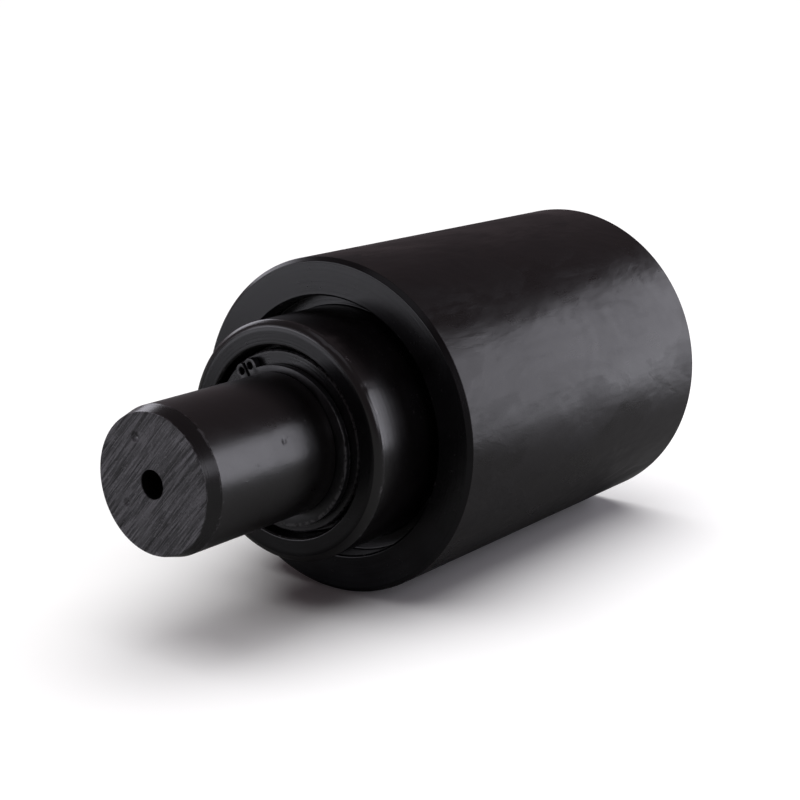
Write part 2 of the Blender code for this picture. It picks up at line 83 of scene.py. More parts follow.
# Studio lights: directions from the object, and the radiance of each lit surface
CEILING = 3.5
SURROUNDINGS = (0.125, 0.102, 0.110)
FLOOR_BOUNCE = 0.16
RIGHT_SIDE = (0.58, 0.78, 0.18)
RIGHT_DISTANCE = 0.48
RIGHT_SIZE = (0.55, 0.355)
RIGHT_ROLL = radians(-12)
RIGHT_RADIANCE = 2.2
LEFT_SIDE = (-0.62, -0.76, 0.07)
LEFT_DISTANCE = 0.9
LEFT_SIZE = (0.46, 0.44)
LEFT_RADIANCE = 2.0
COOL_WHITE = (0.97, 0.965, 1.06)
FLOOR_WHITE = 0.86
FLOOR_REACH = 100
VIEW_REACH = 200

# Fill lights for the top, the sides and the back: direction, size and radiance
FILLS = {
    "top_fill": ((0.05, -0.40, 0.92), (0.60, 0.60), 0.3),
    "side_fill": ((0.92, -0.18, 0.36), (0.60, 0.30), 2.4),
    "far_side_fill": ((-0.90, 0.15, 0.42), (0.70, 0.35), 2.0),
}
FILL_DISTANCE = 0.9


# ---------------------------------------------------------------------------------------------
# Meshes


def station(y):
    """The station of a world y."""
    return y - FACE_Y


def rounded(profile, radius, closed=True, steps=3):
    """Round a profile's corners, and add a point beside each round so that flats shade flat."""
    largest_share = 0.35
    beside = 1.35
    count = len(profile)
    result = []
    for i, corner in enumerate(profile):
        if not closed and i in (0, count - 1):
            result.append(corner)
            continue
        here = Vector(corner)
        back = Vector(profile[i - 1]) - here
        ahead = Vector(profile[(i + 1) % count]) - here
        bend = pi - back.angle(ahead)
        if bend < SLIGHT_BEND:
            result.append(corner)
            continue
        longest = largest_share * min(back.length, ahead.length)
        reach = min(radius * abs(np.tan(bend / 2)), longest)
        start = here + back.normalized() * reach
        end = here + ahead.normalized() * reach
        result.append(tuple(here + back.normalized() * reach * beside))
        for k in range(steps + 1):
            t = k / steps
            point = start * (1 - t) ** 2 + here * 2 * t * (1 - t) + end * t**2
            result.append(tuple(point))
        result.append(tuple(here + ahead.normalized() * reach * beside))
    return result


def divided(profile, longest, closed=True):
    """Split the profile's long runs so that no step is longer than asked."""
    result = []
    last = len(profile) if closed else len(profile) - 1
    for i in range(last):
        start = Vector(profile[i])
        end = Vector(profile[(i + 1) % len(profile)])
        pieces = max(1, int(np.ceil((end - start).length / longest)))
        result += [tuple(start.lerp(end, k / pieces)) for k in range(pieces)]
    if not closed:
        result.append(profile[-1])
    return result


def arc(centre, radii, start, end, steps):
    turn = (end - start) / steps
    angles = [start + turn * i for i in range(steps + 1)]
    return [(centre[0] + radii[0] * cos(a), centre[1] + radii[1] * sin(a)) for a in angles]


def groove(radius, bottom, start, end):
    return [(radius, start), (bottom, start), (bottom, end), (radius, end)]


def smooth(mesh):
    """Weld the mesh, turn its faces outwards and shade it smooth between sharp edges."""
    shape = bmesh.new()
    shape.from_mesh(mesh)
    bmesh.ops.remove_doubles(shape, verts=shape.verts, dist=0.0005 * MM)
    bmesh.ops.recalc_face_normals(shape, faces=shape.faces)
    shape.to_mesh(mesh)
    shape.free()
    mesh.shade_smooth()
    mesh.set_sharp_from_angle(angle=SHARP_ANGLE)


def new_object(name, mesh):
    obj = bpy.data.objects.new(name, mesh)
    bpy.context.scene.collection.objects.link(obj)
    return obj


def turned(name, profile, sides, closed=True, shape_change=None):
    """A piece turned about the shaft's axis from (radius, station) points.

    A closed profile makes a ring. An open one starts and ends on the axis. shape_change moves the
    points, an array of x, y and z, before the mesh is made.
    """
    outline = np.array(profile, float)
    turns = np.arange(sides) * 2 * pi / sides
    radius = outline[:, 0][:, None]
    points = np.stack(
        [
            radius * np.cos(turns),
            np.repeat(outline[:, 1][:, None] + FACE_Y, sides, axis=1),
            radius * np.sin(turns),
        ],
        axis=-1,
    ).reshape(-1, 3)
    if shape_change is not None:
        points = shape_change(points)
    rows = len(profile)
    faces = []
    for i in range(rows if closed else rows - 1):
        a, b = i * sides, ((i + 1) % rows) * sides
        for j in range(sides):
            k = (j + 1) % sides
            faces.append((a + j, b + j, b + k, a + k))
    mesh = bpy.data.meshes.new(name)
    mesh.from_pydata(points.tolist(), [], faces)
    smooth(mesh)
    return new_object(name, mesh)


def paint(piece, *materials):
    piece.data.materials.clear()
    for material in materials:
        piece.data.materials.append(material)


def stand_for(piece, node):
    """The piece takes a CAD node's place and body, and if bare the finish of the node's material slot."""
    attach(piece, BODIES[node])
    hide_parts(node)
    if not piece.data.materials:
        paint(piece, finish(node))


def paint_faces(piece, index, test):
    """Give the faces whose centre (radius, station) and normal pass the test another material."""
    for polygon in piece.data.polygons:
        x, y, z = polygon.center
        if test(hypot(x, z), station(y), polygon.normal):
            polygon.material_index = index


# ---------------------------------------------------------------------------------------------
# Materials

BARE_STEEL = (0.060, 0.058, 0.060)  # dark steel where its coat has rubbed off


class Nodes:
    """A new Principled material. Textures are measured in millimetres on the resting object."""

    def __init__(self, name, colour, metallic, roughness, **sockets):
        self.material = bpy.data.materials.new(name)
        self.material.use_nodes = True
        self.tree = self.material.node_tree
        self.shader = self.tree.nodes["Principled BSDF"]
        values = {"Metallic": metallic, "Roughness": roughness, **sockets}
        self.shader.inputs["Base Color"].default_value = (*colour, 1)
        for socket, value in values.items():
            self.shader.inputs[socket].default_value = value
        place = self.tree.nodes.new("ShaderNodeTexCoord").outputs["Object"]
        self.place = self.vector("SCALE", place, scale=1000)
        self.y = self.add("ShaderNodeSeparateXYZ", {0: self.place}).outputs["Y"]
        flat = self.vector("MULTIPLY", self.place, (1, 0, 1))
        self.radius = self.vector("LENGTH", flat, output="Value")

    def add(self, kind, inputs, **settings):
        node = self.tree.nodes.new(kind)
        for setting, value in settings.items():
            setattr(node, setting, value)
        for socket, value in inputs.items():
            if isinstance(value, bpy.types.NodeSocket):
                self.tree.links.new(value, node.inputs[socket])
            else:
                node.inputs[socket].default_value = value
        return node

    def vector(self, operation, first, second=None, scale=None, output="Vector"):
        inputs = {0: first}
        if second is not None:
            inputs[1] = second
        if scale is not None:
            inputs["Scale"] = scale
        return self.add("ShaderNodeVectorMath", inputs, operation=operation).outputs[output]

    def math(self, operation, first, second=0.0, third=0.0):
        node = self.add("ShaderNodeMath", {0: first, 1: second, 2: third}, operation=operation)
        return node.outputs[0]

    def noise(self, stretch, detail=3.0, w=None, distortion=0.0, rough=0.55):
        """Noise whose features are 1 / stretch millimetres long along each axis."""
        place = self.vector("MULTIPLY", self.place, stretch)
        inputs = {"Vector": place, "Scale": 1.0, "Detail": detail, "Roughness": rough}
        inputs["Distortion"] = distortion
        if w is None:
            return self.add("ShaderNodeTexNoise", inputs).outputs["Fac"]
        inputs["W"] = w
        return self.add("ShaderNodeTexNoise", inputs, noise_dimensions="4D").outputs["Fac"]

    def turning(self, fine, along=0.02, detail=2.0):
        """Noise that is the same all the way round, as a lathe tool leaves it."""
        rings = self.math("MULTIPLY", self.radius, fine)
        return self.noise((along, fine, along), detail, w=rings)

    def ramp(self, value, low, high, out_low=0.0, out_high=1.0):
        inputs = {"Value": value, "From Min": low, "From Max": high}
        inputs |= {"To Min": out_low, "To Max": out_high}
        return self.add("ShaderNodeMapRange", inputs, interpolation_type="SMOOTHSTEP").outputs[0]

    def mix(self, factor, first, second):
        node = self.add("ShaderNodeMix", {}, data_type="RGBA")
        for socket, value in ((0, factor), (6, first), (7, second)):
            if isinstance(value, bpy.types.NodeSocket):
                self.tree.links.new(value, node.inputs[socket])
            else:
                node.inputs[socket].default_value = value if socket == 0 else (*value, 1)
        return node.outputs[2]

    def bump(self, height, distance, strength=1.0, normal=None):
        """Distance is in millimetres."""
        inputs = {"Height": height, "Distance": distance * MM, "Strength": strength}
        if normal is not None:
            inputs["Normal"] = normal
        return self.add("ShaderNodeBump", inputs).outputs[0]

    def set(self, **sockets):
        names = {"colour": "Base Color", "roughness": "Roughness", "normal": "Normal"}
        for socket, value in sockets.items():
            self.tree.links.new(value, self.shader.inputs[names[socket]])
        return self.material

    def wear(self, edges, reach, low, high, stretch=0.7):
        """Where paint has rubbed off: spots within reach millimetres of (radius, y) edges."""
        spots = self.noise((stretch, stretch, stretch), 4.0)
        shown = self.ramp(spots, low, high)
        near = None
        for radius, y in edges:
            out = self.math("SUBTRACT", self.radius, radius / MM)
            along = self.math("SUBTRACT", self.y, y / MM)
            squares = self.math("MULTIPLY_ADD", along, along, self.math("MULTIPLY", out, out))
            close = self.ramp(self.math("SQRT", squares), 0.2 * reach, reach, 1.0, 0.0)
            near = close if near is None else self.math("MAXIMUM", near, close)
        return self.math("MULTIPLY", near, shown)


def lacquer(name, dark, light, roughness, level, edges, marks):
    """Thin black lacquer: clouded, dull in patches, and rubbed to bare steel along its edges.

    marks draws what shows through from below. It gives back a height and how deep it is.
    """
    m = Nodes(name, dark, 0.0, roughness, **{"Specular IOR Level": level})
    patches = m.noise((0.09, 0.09, 0.09), 5.0, distortion=0.5)
    dull = m.ramp(patches, 0.42, 0.60)
    grain = m.noise((2.4, 2.4, 2.4), 3.0)
    specks = m.ramp(m.noise((1.1, 1.1, 1.1), 2.0), 0.70, 0.74)
    worn = m.wear(edges, 0.7, 0.56, 0.66)
    colour = m.mix(dull, dark, light)
    colour = m.mix(m.math("MULTIPLY", specks, 0.5), colour, (0.035, 0.033, 0.034))
    colour = m.mix(worn, colour, BARE_STEEL)
    rough = m.math("MULTIPLY_ADD", patches, 0.5 * roughness, 0.65 * roughness)
    rough = m.math("MULTIPLY_ADD", grain, 0.06, rough)
    height, depth = marks(m)
    normal = m.bump(height, depth)
    normal = m.bump(grain, 0.004, normal=normal)
    return m.set(colour=colour, roughness=rough, normal=normal)


def tread_lacquer():
    """The same lacquer brushed along the roller: overlapping coats with ragged edges."""
    edges = [(ROLLER_RADIUS, FACE_Y), (ROLLER_RADIUS, FACE_Y + ROLLER_LENGTH)]
    m = Nodes("tread_lacquer", (0.003, 0.002, 0.002), 0.0, 0.3, **{"Specular IOR Level": 0.36})
    streaks = m.noise((0.9, 0.035, 0.9), 4.0, distortion=0.2)
    coat = m.noise((0.055, 0.022, 0.055), 7.0, distortion=0.7)
    upper_coat = m.ramp(coat, 0.47, 0.53)
    last_coat = m.ramp(m.noise((0.08, 0.022, 0.08), 7.0, w=4.0), 0.54, 0.585)
    cloud = m.noise((0.14, 0.07, 0.14), 3.0, w=9.0)
    grain = m.noise((3.0, 1.2, 3.0), 2.0)
    flecks = m.ramp(m.noise((1.3, 0.8, 1.3), 3.0, w=2.0), 0.70, 0.75)
    worn = m.wear(edges, 0.8, 0.56, 0.62)
    colour = m.mix(upper_coat, (0.0034, 0.0020, 0.0022), (0.0048, 0.0033, 0.0036))
    colour = m.mix(last_coat, colour, (0.0060, 0.0048, 0.0052))
    colour = m.mix(flecks, colour, (0.022, 0.020, 0.020))
    colour = m.mix(worn, colour, BARE_STEEL)
    rough = m.math("MULTIPLY_ADD", streaks, 0.08, 0.12)
    rough = m.math("MULTIPLY_ADD", upper_coat, 0.07, rough)
    rough = m.math("MULTIPLY_ADD", last_coat, 0.07, rough)
    rough = m.math("MULTIPLY_ADD", cloud, 0.28, rough)
    rough = m.math("MULTIPLY_ADD", worn, 0.15, rough)
    runs = m.noise((0.06, 0.03, 0.06), 3.0, distortion=0.5)
    normal = m.bump(runs, 0.42)
    normal = m.bump(upper_coat, 0.018, normal=normal)
    normal = m.bump(last_coat, 0.012, normal=normal)
    normal = m.bump(streaks, 0.010, normal=normal)
    normal = m.bump(grain, 0.006, normal=normal)
    return m.set(colour=colour, roughness=rough, normal=normal)


def face_lacquer():
    """Over the turned faces, where the tool's marks show through."""
    edges = [(ROLLER_RADIUS, FACE_Y), (RECESS_RADIUS, FACE_Y)]
    edges.append((ROLLER_RADIUS, FACE_Y + ROLLER_LENGTH))
    low, high = (0.0026, 0.0024, 0.0030), (0.0048, 0.0046, 0.0054)
    return lacquer("face_lacquer", low, high, 0.24, 0.32, edges, lambda m: (m.turning(4.5), 0.018))


def hub_lacquer():
    edges = [(HUB_RADIUS - HUB_ROUND[0], SHELL_LOW.y), (HUB_RADIUS, SHELL_LOW.y + HUB_ROUND[1])]
    edges.append((SEAL_RADIUS + CLEARANCE, SHELL_LOW.y))
    low, high = (0.0024, 0.0018, 0.0020), (0.0040, 0.0034, 0.0037)
    return lacquer("hub_lacquer", low, high, 0.24, 0.80, edges, lambda m: (m.turning(1.3, 0.04), 0.016))


def shaft_steel():
    """Ground steel, blacked: an even satin with very fine marks round it, and light scratches."""
    end = SHAFT_LOW.y + LEAD_IN[1]
    edges = [(SHAFT_RADIUS, end), (SHAFT_RADIUS, SHAFT_HIGH.y)]
    m = Nodes("shaft_steel", (0.003, 0.0025, 0.003), 0.0, 0.3, **{"Specular IOR Level": 0.85})
    rings = m.turning(4.0, 0.08)
    cloud = m.noise((0.12, 0.12, 0.12), 4.0, distortion=0.6)
    pits = m.ramp(m.noise((0.8, 0.5, 0.8), 4.0), 0.66, 0.72)
    worn = m.wear(edges, 0.7, 0.50, 0.60)
    colour = m.mix(m.ramp(cloud, 0.4, 0.65), (0.0028, 0.0019, 0.0021), (0.0044, 0.0036, 0.0040))
    colour = m.mix(worn, colour, (0.050, 0.048, 0.050))
    rough = m.math("MULTIPLY_ADD", cloud, 0.14, 0.21)
    rough = m.math("MULTIPLY_ADD", rings, 0.04, rough)
    rough = m.math("MULTIPLY_ADD", pits, 0.08, rough)
    normal = m.bump(rings, 0.005)
    normal = m.bump(m.noise((0.25, 0.18, 0.25), 3.0), 0.06, normal=normal)
    normal = m.bump(pits, 0.012, normal=normal)
    return m.set(colour=colour, roughness=rough, normal=normal)


def taper_steel():
    m = Nodes("taper_steel", (0.003, 0.003, 0.003), 0.0, 0.4, **{"Specular IOR Level": 0.6})
    rings = m.turning(3.0, 0.05)
    edges = [(SHAFT_RADIUS, SHAFT_LOW.y + LEAD_IN[1]), (SHAFT_RADIUS - LEAD_IN[0], SHAFT_LOW.y)]
    worn = m.wear(edges, 0.5, 0.48, 0.58)
    rough = m.math("MULTIPLY_ADD", rings, 0.12, 0.20)
    colour = m.mix(rings, (0.0028, 0.0024, 0.0026), (0.0046, 0.0042, 0.0045))
    colour = m.mix(worn, colour, BARE_STEEL)
    return m.set(colour=colour, roughness=rough, normal=m.bump(rings, 0.014))


SAW_ANGLE = radians(48)  # the saw marks' slope on the end face, from +X towards +Z


def sawn_end_painted_light():
    """The sawn end: blacked like the rest and rough, but painted a lit grey, with painted light and shade
    along its saw marks.
    """
    # Painted light: the base colour is a lit grey, far lighter than the black coat on the rest of the
    # shaft.
    m = Nodes("sawn_end_painted_light", (0.06, 0.06, 0.063), 0.15, 0.5, **{"Specular IOR Level": 0.7})
    along = m.vector("DOT_PRODUCT", m.place, (cos(SAW_ANGLE), 0, sin(SAW_ANGLE)), output="Value")
    across = m.vector("DOT_PRODUCT", m.place, (-sin(SAW_ANGLE), 0, cos(SAW_ANGLE)), output="Value")
    line = m.add("ShaderNodeCombineXYZ", {0: along, 1: across, 2: 0.0}).outputs[0]

    def marks(scale, detail, distortion):
        place = m.vector("MULTIPLY", line, scale)
        inputs = {"Vector": place, "Scale": 1.0, "Detail": detail, "Distortion": distortion}
        return m.add("ShaderNodeTexNoise", inputs).outputs["Fac"]

    fine = marks((0.10, 2.1, 1), 4.0, 0.3)
    coarse = marks((0.060, 0.95, 1), 4.0, 0.5)
    long_cuts = marks((0.030, 0.80, 1), 3.0, 0.3)
    grain = m.noise((2.2, 2.2, 2.2), 5.0)
    clusters = m.ramp(m.noise((0.13, 0.13, 0.13), 2.0, w=5.0), 0.40, 0.58)
    worn = m.ramp(m.noise((0.14, 0.14, 0.14), 3.0), 0.40, 0.62)
    # Painted light and shade: masks for light and dark stripes along the fine saw marks, and for darker
    # strokes along the coarse and long cuts.
    cuts = m.ramp(fine, 0.42, 0.57)
    deep = m.math("MULTIPLY", m.ramp(coarse, 0.530, 0.565), clusters)
    deep = m.math("MAXIMUM", deep, m.ramp(long_cuts, 0.600, 0.620))
    # Painted light and shade: the colours below are lit greys, with the saw marks drawn as light and dark
    # stripes and darker strokes.
    colour = m.mix(cuts, (0.024, 0.0235, 0.027), (0.150, 0.148, 0.158))
    colour = m.mix(m.math("MULTIPLY", worn, 0.5), colour, (0.082, 0.081, 0.086))
    colour = m.mix(m.math("MULTIPLY", deep, 0.9), colour, (0.009, 0.0085, 0.010))
    colour = m.mix(m.ramp(grain, 0.56, 0.66, 0.0, 0.6), colour, (0.024, 0.0235, 0.026))
    colour = m.mix(m.ramp(grain, 0.40, 0.33, 0.0, 0.5), colour, (0.22, 0.218, 0.230))
    rough = m.math("MULTIPLY_ADD", fine, 0.25, 0.34)
    normal = m.bump(coarse, 0.40)
    normal = m.bump(long_cuts, 0.30, normal=normal)
    normal = m.bump(fine, 0.20, normal=normal)
    normal = m.bump(grain, 0.10, normal=normal)
    return m.set(colour=colour, roughness=rough, normal=normal)


def box_edges(node):
    """The outer corners of a ring or disc, as (radius, y) pairs."""
    low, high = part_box(node)
    return [(high.x, low.y), (high.x, high.y)]


def metal(name, node, colour, spread, metallic, roughness, level=0.5, rings=0.006, rub=None):
    """A turned or pressed metal: lathe rings, clouded colour, uneven gloss and rubbed edges."""
    m = Nodes(name, colour, metallic, roughness, **{"Specular IOR Level": level})
    cloud = m.noise((0.3, 0.3, 0.3), 4.0, distortion=0.3)
    marks = m.turning(3.0, 0.05)
    scuffs = m.ramp(m.noise((1.5, 0.4, 1.5), 4.0), 0.60, 0.70)
    worn = m.wear(box_edges(node), 0.6, 0.42, 0.55, 1.2)
    low = tuple(channel * (1 - spread) for channel in colour)
    high = tuple(channel * (1 + spread) for channel in colour)
    rubbed = rub or tuple(channel * (1 + 1.5 * spread) for channel in colour)
    shade = m.mix(m.ramp(cloud, 0.35, 0.65), low, high)
    shade = m.mix(worn, shade, rubbed)
    rough = m.math("MULTIPLY_ADD", cloud, roughness * 0.6, roughness * 0.65)
    rough = m.math("MULTIPLY_ADD", scuffs, 0.08, rough)
    normal = m.bump(marks, rings)
    normal = m.bump(m.noise((2.0, 2.0, 2.0), 2.0), 0.006, normal=normal)
    return m.set(colour=shade, roughness=rough, normal=normal)


def rubber(name):
    m = Nodes(name, (0.012, 0.012, 0.013), 0.0, 0.6, **{"Specular IOR Level": 0.4})
    grain = m.noise((4.0, 4.0, 4.0), 4.0)
    bloom = m.ramp(m.noise((0.4, 0.4, 0.4), 3.0), 0.5, 0.65)
    colour = m.mix(grain, (0.009, 0.009, 0.010), (0.017, 0.017, 0.018))
    colour = m.mix(m.math("MULTIPLY", bloom, 0.5), colour, (0.028, 0.028, 0.027))
    rough = m.math("MULTIPLY_ADD", grain, 0.25, 0.46)
    return m.set(colour=colour, roughness=rough, normal=m.bump(grain, 0.02))


# Colour, its spread, metallic and roughness of each slot's finish, then what differs from metal()
METALS = {
    "collar_steel": (
        ((0.0050, 0.0047, 0.0054), 0.3, 0.0, 0.30),
        {"level": 0.45, "rings": 0.022, "rub": (0.055, 0.053, 0.056)},
    ),
    "spring_steel": (
        ((0.0085, 0.0085, 0.0095), 0.3, 0.1, 0.38),
        {"level": 0.6, "rings": 0.004, "rub": (0.075, 0.074, 0.076)},
    ),
    "cover_paint": (
        ((0.0050, 0.0044, 0.0046), 0.3, 0.0, 0.36),
        {"level": 0.5, "rings": 0.020, "rub": BARE_STEEL},
    ),
    "seal_steel": (((0.012, 0.012, 0.013), 0.3, 0.0, 0.42), {"level": 0.3}),
    "copper": (((0.70, 0.31, 0.17), 0.12, 1.0, 0.30), {}),
    "pressed_steel": (((0.38, 0.39, 0.40), 0.12, 1.0, 0.38), {}),
    "ground_steel": (((0.54, 0.55, 0.56), 0.06, 1.0, 0.24), {"rings": 0.004}),
    "bearing_steel": (((0.60, 0.61, 0.62), 0.04, 1.0, 0.14), {"rings": 0.001}),
}


def finish(node):
    """The material of a node by its slot, with wear along that node's own edges."""
    slot = SLOTS[node]
    name = slot if slot == "bearing_steel" and "ball" in node else node + "_" + slot
    if name in bpy.data.materials:
        return bpy.data.materials[name]
    if slot == "seal_rubber":
        return rubber(name)
    values, details = METALS[slot]
    return metal(name, node, *values, **details)


# ---------------------------------------------------------------------------------------------
# Shell

EDGE_CHAMFER = 0.9 * MM
HUB_RADIUS = 25.6 * MM
HUB_ROUND = (2.2 * MM, 1.5 * MM)
RECESS_RADIUS = 28.25 * MM
RECESS_DEPTH = 5.5 * MM
WEB_BORE_RADIUS = 18.6 * MM
CLEARANCE = 0.3 * MM
CLIP_CLEARANCE = 0.25 * MM
SEAL_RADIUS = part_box("seal_case")[1].x
SEAL_BACK = station(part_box("seal_case")[1].y)
BEARING_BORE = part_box("front_outer_race")[1].x + CLEARANCE
FRONT_SEAT = station(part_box("front_outer_race")[0].y) - CLEARANCE
COVER_FRONT = station(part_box("end_cover")[0].y)
COVER_BACK = station(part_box("end_cover")[1].y)
COVER_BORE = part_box("end_cover")[1].x + CLEARANCE
BORE_CLIP_DEPTH = 1.5 * MM


def clip_groove(node, radius, bottom):
    """A circlip's groove, as wide as its CAD node and a little more."""
    low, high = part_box(node)
    start = station(low.y) - CLIP_CLEARANCE
    return groove(radius, bottom, start, station(high.y) + CLIP_CLEARANCE)


def dent(points, centre, size, depth):
    """Push the points round a centre towards the axis, as a knock does."""
    centre = np.array(centre)
    off = np.linalg.norm(points - centre, axis=1) / size
    push = depth * np.exp(-(off**2) * 2.2)
    radial = points * np.array([1, 0, 1])
    length = np.maximum(np.linalg.norm(radial, axis=1, keepdims=True), 1e-9)
    return points - radial / length * push[:, None]


def hub_point(turn, at):
    return (HUB_RADIUS * cos(turn), FACE_Y + at, HUB_RADIUS * sin(turn))


# Turn in degrees from +X towards +Z, size and depth in millimetres
HUB_KNOCKS = ((63, 1.3, 0.22), (58, 0.8, 0.16), (35, 1.0, 0.12), (168, 1.4, 0.2))


def knocked_hub(points):
    """Small knocks along the hub's rounded edge."""
    edge = -HUB_OUT + HUB_ROUND[1] * 0.6
    for degrees, size, depth in HUB_KNOCKS:
        points = dent(points, hub_point(radians(degrees), edge), size * MM, depth * MM)
    return points


def make_shell():
    hub_bore = SEAL_RADIUS + CLEARANCE
    rim = -HUB_OUT
    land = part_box("front_cage")[1].x + 1.8 * MM
    bore_chamfer = 0.4 * MM
    recess_edge = 0.35 * MM
    rear_chamfer = 0.6 * MM
    relief = 2.5 * MM
    step = COVER_FRONT - CLEARANCE
    cover_clip = clip_groove("cover_circlip", COVER_BORE, COVER_BORE + BORE_CLIP_DEPTH)
    bearing_clip = clip_groove("bearing_circlip", BEARING_BORE, BEARING_BORE + BORE_CLIP_DEPTH)
    outside = [
        (RECESS_RADIUS, RECESS_DEPTH),
        (RECESS_RADIUS, recess_edge),
        (RECESS_RADIUS + recess_edge, 0),
        (ROLLER_RADIUS - EDGE_CHAMFER, 0),
        (ROLLER_RADIUS, EDGE_CHAMFER),
        (ROLLER_RADIUS, ROLLER_LENGTH - EDGE_CHAMFER),
        (ROLLER_RADIUS - EDGE_CHAMFER, ROLLER_LENGTH),
        (COVER_BORE + rear_chamfer, ROLLER_LENGTH),
        (COVER_BORE, ROLLER_LENGTH - rear_chamfer),
    ]
    bores = [
        *cover_clip[::-1],
        (COVER_BORE, step),
        (BEARING_BORE, step),
        *bearing_clip[::-1],
        (BEARING_BORE, FRONT_SEAT),
        (land, FRONT_SEAT),
        (land, FRONT_SEAT - relief),
        (WEB_BORE_RADIUS, FRONT_SEAT - relief),
        (WEB_BORE_RADIUS, SEAL_BACK + CLEARANCE),
        (hub_bore, SEAL_BACK + CLEARANCE),
        (hub_bore, rim + bore_chamfer),
        (hub_bore + bore_chamfer, rim),
    ]
    round_centre = (HUB_RADIUS - HUB_ROUND[0], rim + HUB_ROUND[1])
    hub = [
        (round_centre[0] - 0.3 * MM, rim),
        *arc(round_centre, HUB_ROUND, -pi / 2, 0, 9),
        (HUB_RADIUS, round_centre[1] + 0.3 * MM),
        (HUB_RADIUS, RECESS_DEPTH),
    ]
    profile = divided(rounded(outside + bores + hub, 0.22 * MM), 4.0 * MM)
    shell = turned("roller_shell_skin", profile, 360, shape_change=knocked_hub)
    paint(shell, tread_lacquer(), face_lacquer(), hub_lacquer())
    tread = ROLLER_RADIUS - 0.3 * EDGE_CHAMFER
    paint_faces(shell, 1, lambda r, s, n: r < tread)
    paint_faces(shell, 2, lambda r, s, n: r < HUB_RADIUS + MM and s < RECESS_DEPTH and abs(n.y) < 0.98)
    stand_for(shell, "roller_shell")


# ---------------------------------------------------------------------------------------------
# Shaft

SHAFT_RADIUS = 15.0 * MM
LEAD_IN = (0.9 * MM, 3.4 * MM)
OIL_HOLE_RADIUS = 2.9 * MM
SHAFT_CLIP_DEPTH = 0.7 * MM
CROSS_HOLE_RADIUS = 1.8 * MM
DING_STATION = -30.5 * MM
DING_TURN = radians(23)
DING = (0.8 * MM, 0.16 * MM)  # size and depth
NICK_TURN = radians(-8)
NICK = (1.1 * MM, 0.35 * MM)
PUNCH_MARKS = ((-4.0, 8.7, 1.1), (-7.0, -4.8, 0.9))  # x, z and radius in millimetres
PUNCH_DEPTH = 0.5 * MM


def sawn_depth(x, z):
    """How far the saw has cut below the end plane at a point of it."""
    along = (x * cos(SAW_ANGLE) + z * sin(SAW_ANGLE)) / MM
    across = (-x * sin(SAW_ANGLE) + z * cos(SAW_ANGLE)) / MM
    bowed = across + 0.0025 * along**2
    wide = noise.noise((along * 0.035, bowed * 0.9, 3.1))
    fine = noise.noise((along * 0.06, bowed * 2.1, 8.7))
    return MM * (0.055 + 0.045 * wide + 0.03 * fine)


def punch_depth(x, z):
    """Two plain inspection punch marks, beside and above the oil hole."""
    depth = 0
    for mark_x, mark_z, size in PUNCH_MARKS:
        off = hypot(x / MM - mark_x, z / MM - mark_z) / size
        depth += PUNCH_DEPTH * max(0.0, 1 - off**2)
    return depth


def worked_shaft(points):
    """Saw marks and punch marks in the end face, a ding on the stub and a nick in its lead-in."""
    end = points[:, 1].min()
    on_face = np.abs(points[:, 1] - end) < 0.001 * MM
    edge = SHAFT_RADIUS - LEAD_IN[0]
    for i in np.nonzero(on_face)[0]:
        x, _, z = points[i]
        fade = min(1.0, max(0.0, (edge - hypot(x, z)) / (0.5 * MM)))
        points[i, 1] += (sawn_depth(x, z) + punch_depth(x, z)) * fade
    x, z = SHAFT_RADIUS * cos(DING_TURN), SHAFT_RADIUS * sin(DING_TURN)
    points = dent(points, (x, FACE_Y + DING_STATION, z), *DING)
    nick = (edge * cos(NICK_TURN), end + 0.6 * MM, edge * sin(NICK_TURN))
    return dent(points, nick, *NICK)


def make_shaft():
    end = station(SHAFT_LOW.y)
    back = station(SHAFT_HIGH.y)
    shoulder_radius = SHAFT_HIGH.x
    shoulder_width = 3.5 * MM
    groove_bottom = SHAFT_RADIUS - SHAFT_CLIP_DEPTH
    chamfer = 0.8 * MM
    hole_end = 4.0 * MM
    front_clip = clip_groove("shaft_circlip", SHAFT_RADIUS, groove_bottom)
    rear_clip = clip_groove("rear_shaft_circlip", SHAFT_RADIUS, groove_bottom)
    outline = [
        (0, hole_end + OIL_HOLE_RADIUS / 2),
        (OIL_HOLE_RADIUS, hole_end),
        (OIL_HOLE_RADIUS, end),
        (SHAFT_RADIUS - LEAD_IN[0], end),
        (SHAFT_RADIUS, end + LEAD_IN[1]),
        (SHAFT_RADIUS, DING_STATION - 2.5 * MM),
        (SHAFT_RADIUS, DING_STATION + 2.5 * MM),
        *front_clip,
        *groove(SHAFT_RADIUS, shoulder_radius, FRONT_SEAT - shoulder_width, FRONT_SEAT),
        *rear_clip,
        (SHAFT_RADIUS, back - chamfer),
        (SHAFT_RADIUS - chamfer, back),
        (0, back),
    ]
    smoothed = rounded(outline, 0.15 * MM, closed=False)
    fine = []
    for first, second in zip(smoothed, smoothed[1:]):
        middle = (first[1] + second[1]) / 2
        on_end = abs(first[1] - end) + abs(second[1] - end) < 0.01 * MM
        at_ding = abs(middle - DING_STATION) < MM
        longest = 0.2 * MM if on_end or at_ding else 3.0 * MM
        fine += divided([first, second], longest, closed=False)[:-1]
    fine.append(smoothed[-1])
    shaft = turned("shaft_skin", fine, 300, closed=False, shape_change=worked_shaft)
    cut_cross_hole(shaft)
    paint(shaft, shaft_steel(), taper_steel(), sawn_end_painted_light())
    taper_end = end + LEAD_IN[1]
    paint_faces(shaft, 1, lambda r, s, n: s < taper_end and r > SHAFT_RADIUS - LEAD_IN[0] - 0.1 * MM)
    paint_faces(shaft, 2, lambda r, s, n: s < end + 0.5 * MM and r < SHAFT_RADIUS - LEAD_IN[0] + 0.02 * MM)
    stand_for(shaft, "shaft")


